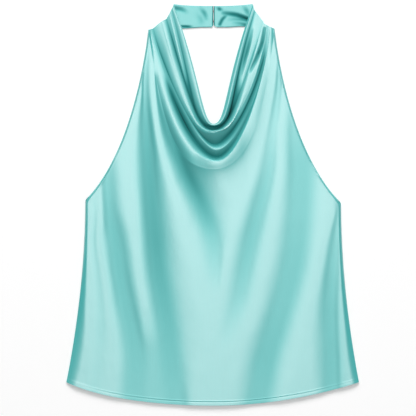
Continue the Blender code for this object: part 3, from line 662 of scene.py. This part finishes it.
def front_surface():
    """The middle of the front's cloth as a grid of (x, up, height), and its shade in hollows."""
    columns = front_columns()
    grid = np.concatenate([np.array(cowl_rows(columns)), body_rows(columns)])
    x, up, height, shade = (grid[..., i] for i in range(4))
    for pleat in PLEATS:
        sunk, dark = pleat_depth(pleat, x, up)
        height = height - sunk
        shade = np.maximum(shade, dark)
    low = lie_level(x, up) + LIE_CLOTH / 2 + SETTLE_ROOM
    height = low + (height - low + np.sqrt((height - low) ** 2 + SETTLE ** 2)) / 2
    shares = np.linspace(0, 1, LINE_POINTS)
    height = edge_roll(left_edge(shares), ROLLS_LEFT, x, up, height, low)
    height = edge_roll(right_edge(shares), ROLLS_RIGHT, x, up, height, low)
    height = height + hem_profile(BOTTOM_HEM, up - hem_up(x))
    for edge in (left_edge, right_edge):
        gap, _ = distance_to(edge(np.linspace(0, ARMHOLE_END, ARMHOLE_POINTS)), x, up)
        height = height + hem_profile(ARMHOLE_HEM, gap)
    return x, up, height, shade


def placed(x, up, z):
    """A point of the pattern in the row frame, in metres."""
    return np.stack([x, up - MIDDLE_UP, z], axis=-1) * MM


def wall_from_grids(name, top, bottom):
    """A closed shell between two grids of points, joined along their rims."""
    rows, columns = top.shape[:2]
    count = rows * columns
    index = np.arange(count).reshape(rows, columns)
    quads = np.stack([index[:-1, :-1], index[1:, :-1], index[1:, 1:], index[:-1, 1:]], axis=-1)
    quads = quads.reshape(-1, 4)
    rim = np.concatenate([index[0, :], index[1:, -1], index[-1, -2::-1], index[-2:0:-1, 0]])
    after = np.roll(rim, -1)
    sides = np.stack([rim, after, after + count, rim + count], axis=-1)
    faces = np.concatenate([quads, quads[:, ::-1] + count, sides])
    mesh = bpy.data.meshes.new(name)
    vertices = np.concatenate([top.reshape(-1, 3), bottom.reshape(-1, 3)])
    mesh.from_pydata(vertices.tolist(), [], faces.tolist())
    work = bmesh.new()
    work.from_mesh(mesh)
    bmesh.ops.recalc_face_normals(work, faces=work.faces)
    work.to_mesh(mesh)
    work.free()
    mesh.shade_smooth()
    mesh.set_sharp_from_angle(angle=radians(SHARP_ANGLE))
    obj = bpy.data.objects.new(name, mesh)
    bpy.context.scene.collection.objects.link(obj)
    return obj


def upright_share(x, up, mid):
    """How level the cloth lies, from 0 to 1."""
    rows = np.stack([np.gradient(a, axis=0) for a in (x, up, mid)], axis=-1)
    columns = np.stack([np.gradient(a, axis=1) for a in (x, up, mid)], axis=-1)
    normal = np.cross(rows, columns)
    return np.abs(normal[..., 2]) / np.maximum(np.linalg.norm(normal, axis=-1), 1e-9)


def ranged(tree, value, from_range, to_range):
    """A value brought from one range to another."""
    node = tree.nodes.new("ShaderNodeMapRange")
    node.inputs["From Min"].default_value, node.inputs["From Max"].default_value = from_range
    node.inputs["To Min"].default_value, node.inputs["To Max"].default_value = to_range
    tree.links.new(value, node.inputs["Value"])
    return node.outputs["Result"]


def noise(tree, scales, detail):
    """Noise stretched to these scales along the cloth, in features a metre."""
    place = tree.nodes.new("ShaderNodeTexCoord")
    stretch = tree.nodes.new("ShaderNodeMapping")
    stretch.inputs["Scale"].default_value = scales
    texture = tree.nodes.new("ShaderNodeTexNoise")
    texture.inputs["Scale"].default_value = 1.0
    texture.inputs["Detail"].default_value = detail
    tree.links.new(place.outputs["Object"], stretch.inputs["Vector"])
    tree.links.new(stretch.outputs["Vector"], texture.inputs["Vector"])
    return texture.outputs["Fac"]


def bumped(tree, height, strength, depth, under=None):
    """A bump of this depth in millimetres, laid over another."""
    node = tree.nodes.new("ShaderNodeBump")
    node.inputs["Strength"].default_value = strength
    node.inputs["Distance"].default_value = depth * MM
    tree.links.new(height, node.inputs["Height"])
    if under is not None:
        tree.links.new(under, node.inputs["Normal"])
    return node.outputs["Normal"]


def satin(name):
    """Satin: long floats along the warp, fine streaks, and painted shade in its hollows."""
    mat = bpy.data.materials.new(name)
    mat.use_nodes = True
    tree = mat.node_tree
    shader = tree.nodes["Principled BSDF"]
    # The 'hollow' attribute holds painted shade: it darkens the colour and raises the roughness and the
    # metallic that darkens the reflections
    attribute = tree.nodes.new("ShaderNodeAttribute")
    attribute.attribute_name = "hollow"
    hollow = attribute.outputs["Fac"]
    painted_shade_ramp = tree.nodes.new("ShaderNodeValToRGB")
    first, last = painted_shade_ramp.color_ramp.elements
    first.color = SATIN_PAINTED_SHADE_STOPS[0][1]
    last.color = SATIN_PAINTED_SHADE_STOPS[-1][1]
    for hollow_depth, tone in SATIN_PAINTED_SHADE_STOPS[1:-1]:
        painted_shade_ramp.color_ramp.elements.new(hollow_depth / DEEPEST_PAINTED_SHADE).color = tone
    tree.links.new(ranged(tree, hollow, (0, DEEPEST_PAINTED_SHADE), (0, 1)), painted_shade_ramp.inputs["Fac"])
    streaks = noise(tree, STREAK_SCALES, 3)
    tint = tree.nodes.new("ShaderNodeHueSaturation")
    tone = ranged(tree, streaks, STREAK_RANGE, (1 - STREAK_TINT, 1 + STREAK_TINT))
    tree.links.new(tone, tint.inputs["Value"])
    tree.links.new(painted_shade_ramp.outputs["Color"], tint.inputs["Color"])
    tree.links.new(tint.outputs["Color"], shader.inputs["Base Color"])
    tree.links.new(ranged(tree, hollow, (0, ROUGH_SHADE_DEPTH), ROUGHNESS), shader.inputs["Roughness"])
    tree.links.new(ranged(tree, hollow, (0, METAL_SHADE_DEPTH), METALLIC), shader.inputs["Metallic"])
    uneven = bumped(tree, noise(tree, UNEVEN_SCALES, 2), UNEVEN_STRENGTH, UNEVEN_DEPTH)
    streaked = bumped(tree, streaks, STREAK_STRENGTH, STREAK_DEPTH, uneven)
    woven = bumped(tree, noise(tree, WEAVE_SCALES, 2), WEAVE_STRENGTH, WEAVE_DEPTH, streaked)
    tree.links.new(woven, shader.inputs["Normal"])
    shader.inputs["IOR"].default_value = SATIN_IOR
    shader.inputs["Specular IOR Level"].default_value = 1.0
    return mat


def thread():
    mat = bpy.data.materials.new("thread")
    mat.use_nodes = True
    shader = mat.node_tree.nodes["Principled BSDF"]
    shader.inputs["Base Color"].default_value = THREAD_COLOUR
    shader.inputs["Roughness"].default_value = THREAD_ROUGHNESS
    tree = mat.node_tree
    twist = bumped(tree, noise(tree, TWIST_SCALES, 1), TWIST_STRENGTH, TWIST_DEPTH)
    tree.links.new(twist, shader.inputs["Normal"])
    return mat


def surface_tree(shell):
    work = bmesh.new()
    work.from_mesh(shell.data)
    tree = BVHTree.FromBMesh(work)
    work.free()
    return tree


def spindle(centre, ahead, level):
    """One stitch: a short thread that dives into the cloth at both ends."""
    side = np.cross(level, ahead)
    rings = []
    turn = np.linspace(0, 2 * pi, STITCH_SIDES, endpoint=False)[:, None]
    for t in np.linspace(-1, 1, STITCH_RINGS):
        thick = THREAD * (1 - THREAD_TAPER * t ** 4)
        lift = THREAD * (THREAD_RISE - THREAD_DIVE * t ** 4)
        middle = centre + ahead * t * STITCH_LENGTH / 2 + level * lift
        rings.append(middle + thick * (np.cos(turn) * side + np.sin(turn) * level))
    return np.concatenate(rings)


def stitches(name, line, shell):
    """A row of stitches along a line of (x, up) in millimetres, lying on a shell."""
    length = np.linalg.norm(np.diff(line, axis=0), axis=1).sum()
    count = int(length / STITCH_PITCH)
    places = along(line, (np.arange(count) + 0.5) / count)
    ends = along(line, (np.arange(count) + 0.5 + STITCH_AHEAD) / count)
    tree = surface_tree(shell)
    ring = np.arange(STITCH_SIDES)
    after = np.roll(ring, -1)
    vertices, faces = [], []
    for place, end in zip(places, ends):
        start = Vector(placed(place[0], place[1], DROP_FROM))
        spot, level, _, _ = tree.ray_cast(start, Vector((0, 0, -1)))
        if spot is None:
            continue
        ahead = Vector((end[0] - place[0], end[1] - place[1], 0))
        ahead = (ahead - level * ahead.dot(level)).normalized()
        first = len(vertices) * STITCH_RINGS * STITCH_SIDES
        vertices.append(spindle(np.array(spot) / MM, np.array(ahead), np.array(level)) * MM)
        for k in range(STITCH_RINGS - 1):
            low = first + STITCH_SIDES * k
            high = low + STITCH_SIDES
            faces += np.stack([low + ring, low + after, high + after, high + ring], axis=1).tolist()
        last = first + (STITCH_RINGS - 1) * STITCH_SIDES
        faces += [(first + ring[::-1]).tolist(), (last + ring).tolist()]
    mesh = bpy.data.meshes.new(name)
    mesh.from_pydata(np.concatenate(vertices).tolist(), [], faces)
    mesh.shade_smooth()
    mesh.materials.append(bpy.data.materials.get("thread") or thread())
    obj = bpy.data.objects.new(name, mesh)
    bpy.context.scene.collection.objects.link(obj)
    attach(obj, "root")
    return obj


def inside_line(line, inset, side):
    """A line moved this far to its left (side 1) or right (side -1)."""
    ahead = np.gradient(line, axis=0)
    ahead = ahead / np.linalg.norm(ahead, axis=1)[:, None]
    return line + side * inset * np.stack([-ahead[:, 1], ahead[:, 0]], axis=1)


def make_front():
    x, up, mid, shade = front_surface()
    thick = CLOTH / np.maximum(upright_share(x, up, mid), LEAST_LEVEL)
    top = placed(x, up, mid + thick / 2)
    shell = wall_from_grids("front_satin", top, placed(x, up, mid - thick / 2))
    painted_shade_attribute(shell, shade)
    shell.data.materials.append(satin("front_satin"))
    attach(shell, "root")
    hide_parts("front")
    hem = hem_line(np.linspace(*HEM_STITCHED, HEM_SEWN_POINTS))
    rows = [stitches("hem_stitches", hem + (0, BOTTOM_HEM.stitch_in), shell)]
    for name, edge, side in (("left", left_edge, 1), ("right", right_edge, -1)):
        sewn = edge(np.linspace(*ARMHOLE_STITCHED, ARMHOLE_SEWN_POINTS))
        armhole = inside_line(sewn, ARMHOLE_HEM.stitch_in, side)
        rows.append(stitches(name + "_armhole_stitches", armhole, shell))


def painted_shade_attribute(shell, shade):
    """Hands the painted shade at each point of a shell's two grids to its material, as its 'hollow'
    attribute.
    """
    hollow = shell.data.attributes.new("hollow", "FLOAT", "POINT")
    hollow.data.foreach_set("value", np.concatenate([shade.ravel(), shade.ravel()]).astype(np.float32))


def creased(creases, x, up, height):
    """Height with these creases sunk in it, and their shade."""
    shade = np.zeros(x.shape)
    for crease in creases:
        sunk, dark = pleat_depth(crease, x, up)
        height = height - sunk
        shade = np.maximum(shade, dark)
    return height, shade


def make_back():
    columns = np.linspace(0, 1, BACK_COLUMNS + 1)
    shares = np.linspace(0, 1, BACK_ROWS + 1)
    x = UNDERARM_LEFT[0] + (UNDERARM_RIGHT[0] - UNDERARM_LEFT[0]) * columns
    top = np.stack([x, back_top_up(x)], axis=1)
    left = along(side_seam(UNDERARM_LEFT), shares)
    right = along(side_seam(UNDERARM_RIGHT), shares)
    place = rows_between(top, hem_line(columns), left, right, columns, shares)
    x, up = place[..., 0], place[..., 1]
    height, shade = creased(BACK_CREASES, x, up, np.full(x.shape, BACK_HEIGHT))
    shell = wall_from_grids("back_satin", placed(x, up, height), placed(x, up, np.zeros(x.shape)))
    painted_shade_attribute(shell, shade)
    shell.data.materials.append(satin("back_satin"))
    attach(shell, "root")
    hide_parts("back")


def band_top_up(x):
    """The band's upper edge sags between the shoulders."""
    reach = abs(SWAGS[0].end_l[0])
    return LENGTH - BAND_TOP_SAG * (1 - np.clip(np.abs(x) / reach, 0, 1) ** 3)


def band_slit(left):
    """The band's edge at the slit, puffed a little into it."""
    return SLIT_LEFT + SLIT_PUFF if left else SLIT_RIGHT - SLIT_PUFF


def band_grid(left):
    """The neck band's half from the shoulder to the slit: x and up, rows from its top down."""
    side = -1 if left else 1
    slit = band_slit(left)
    corner = SLIT_CORNER_LEFT if left else SLIT_CORNER_RIGHT
    seam = np.array([swag.end_l if left else swag.end_r for swag in SWAGS + (COWL_FOOT,)], float)
    seam[:, 0] -= side * BAND_END_INSET
    seam[0, 1] = band_top_up(seam[0, 0])
    columns = np.linspace(0, 1, BAND_COLUMNS + 1)
    shares = (1 - np.cos(pi * np.linspace(0, 1, BAND_ROWS + 1))) / 2
    top_x = seam[0, 0] + (slit - seam[0, 0]) * columns
    bottom_x = seam[-1, 0] + (corner - seam[-1, 0]) * columns
    top = np.stack([top_x, band_top_up(top_x)], axis=1)
    bottom = np.stack([bottom_x, band_bottom_up(bottom_x)], axis=1)
    foot = [corner, band_bottom_up(corner)]
    end = np.array([[slit, band_top_up(slit)], [slit, SLIT_CORNER_UP], foot])
    place = rows_between(top, bottom, along(seam, shares), along(end, shares), columns, shares)
    return place[..., 0], place[..., 1]


def make_neck_band(name, left):
    x, up = band_grid(left)
    height, shade = creased(BAND_CREASES, x, up, np.full(x.shape, BAND_HEIGHT))
    # Painted shade: even over the whole band and deeper in its creases
    shade = BAND_SHADE + shade * (1 - BAND_SHADE / 2)
    slit = band_slit(left)
    edge = np.minimum(np.minimum(band_top_up(x) - up, up - band_bottom_up(x)), np.abs(x - slit))
    # Painted shade along the slit's edges
    shade = np.maximum(shade, SLIT_SHADE * np.exp(-(np.abs(x - slit) / BAND_FOLD) ** 2))
    rounding = np.sqrt(1 - (1 - np.clip(edge / BAND_FOLD, 0, 1)) ** 2)
    height = CLOTH + (np.maximum(height, CLOTH) - CLOTH) * rounding
    shell = wall_from_grids(name + "_satin", placed(x, up, height), placed(x, up, np.zeros(x.shape)))
    painted_shade_attribute(shell, shade)
    shell.data.materials.append(satin(name + "_satin"))
    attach(shell, "root")
    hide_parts(name)


def steel():
    mat = bpy.data.materials.new("hook_steel")
    mat.use_nodes = True
    shader = mat.node_tree.nodes["Principled BSDF"]
    shader.inputs["Base Color"].default_value = STEEL_COLOUR
    shader.inputs["Metallic"].default_value = 1.0
    shader.inputs["Roughness"].default_value = STEEL_ROUGHNESS
    return mat


def wire(name, points, closed=False):
    """A round wire through these points in the row frame, in metres."""
    curve = bpy.data.curves.new(name, "CURVE")
    curve.dimensions = "3D"
    curve.bevel_depth = HOOK_WIRE * MM
    curve.bevel_resolution = 3
    curve.use_fill_caps = True
    spline = curve.splines.new("POLY")
    spline.points.add(len(points) - 1)
    for target, point in zip(spline.points, points):
        target.co = (*point, 1.0)
    spline.use_cyclic_u = closed
    obj = bpy.data.objects.new(name, curve)
    bpy.context.scene.collection.objects.link(obj)
    return obj


def make_hooks():
    mat = steel()
    middle = (SLIT_LEFT + SLIT_RIGHT) / 2
    turn = np.linspace(0, 2 * pi, EYE_POINTS, endpoint=False)
    bend = np.linspace(-pi / 2, pi / 2, BEND_POINTS)
    for name, up in HOOK_UPS.items():
        eye_x = middle + EYE_RADIUS * np.cos(turn)
        eye = placed(eye_x, up + EYE_RADIUS * np.sin(turn), np.full(EYE_POINTS, EYE_HEIGHT))
        bend_x = middle + BEND_RADIUS * np.cos(bend)
        bend_z = BEND_HEIGHT + BEND_RADIUS * np.sin(bend)
        hook_x = np.concatenate([[middle - LOWER_LEG], bend_x, [middle - UPPER_LEG]])
        hook_z = np.concatenate([bend_z[:1], bend_z, bend_z[-1:]])
        hook = placed(hook_x, np.full(len(hook_x), up), hook_z)
        for piece in (wire(name + "_eye", eye, True), wire(name + "_bent", hook)):
            piece.data.materials.append(mat)
            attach(piece, "root")
            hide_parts(name)


def make_floor():
    bpy.ops.mesh.primitive_plane_add(size=FLOOR_SIZE, location=(0, 0, FLOOR_HEIGHT))
    floor = bpy.context.active_object
    floor.name = "floor"
    mat = bpy.data.materials.new("floor")
    mat.use_nodes = True
    shader = mat.node_tree.nodes["Principled BSDF"]
    shader.inputs["Base Color"].default_value = FLOOR_COLOUR
    shader.inputs["Emission Color"].default_value = WHITE
    shader.inputs["Emission Strength"].default_value = FLOOR_GLOW
    shader.inputs["Roughness"].default_value = FLOOR_ROUGHNESS
    shader.inputs["Specular IOR Level"].default_value = 0.0
    floor.data.materials.append(mat)


def make_camera():
    data = bpy.data.cameras.new("camera")
    data.sensor_width = SENSOR
    data.lens = SENSOR * CAMERA_HEIGHT / (PHOTO_PIXELS * PIXEL_MM * MM)
    camera = bpy.data.objects.new("camera", data)
    spot = placed(FRAME_CENTRE[0], FRAME_CENTRE[1], 0)
    camera.location = Vector((spot[0], spot[1], CAMERA_HEIGHT))
    bpy.context.scene.collection.objects.link(camera)
    bpy.context.scene.camera = camera


def area_light(lamp):
    data = bpy.data.lights.new(lamp.name, "AREA")
    data.shape = "RECTANGLE"
    data.size = lamp.width
    data.size_y = lamp.length
    data.energy = lamp.watts
    light = bpy.data.objects.new(lamp.name, data)
    light.location = lamp.spot
    light.rotation_euler = (-Vector(lamp.spot)).to_track_quat("-Z", "Y").to_euler()
    light.visible_diffuse = lamp.diffuse
    light.visible_glossy = lamp.glossy
    bpy.context.scene.collection.objects.link(light)


def make_lights():
    for lamp in LAMPS:
        area_light(lamp)
    world = bpy.data.worlds.new("studio")
    world.use_nodes = True
    background = world.node_tree.nodes["Background"]
    background.inputs["Color"].default_value = WHITE
    background.inputs["Strength"].default_value = WORLD_LIGHT
    bpy.context.scene.world = world
    bpy.context.scene.view_settings.view_transform = "Standard"


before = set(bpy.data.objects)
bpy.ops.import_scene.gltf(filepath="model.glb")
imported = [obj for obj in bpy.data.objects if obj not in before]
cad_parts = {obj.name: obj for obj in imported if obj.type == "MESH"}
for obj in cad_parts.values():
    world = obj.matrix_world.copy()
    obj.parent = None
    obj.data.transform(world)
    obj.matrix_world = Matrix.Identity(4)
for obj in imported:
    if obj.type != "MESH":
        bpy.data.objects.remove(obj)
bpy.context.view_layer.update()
make_camera()
make_lights()
make_floor()
make_front()
make_back()
make_neck_band("neck_band_left", True)
make_neck_band("neck_band_right", False)
make_hooks()
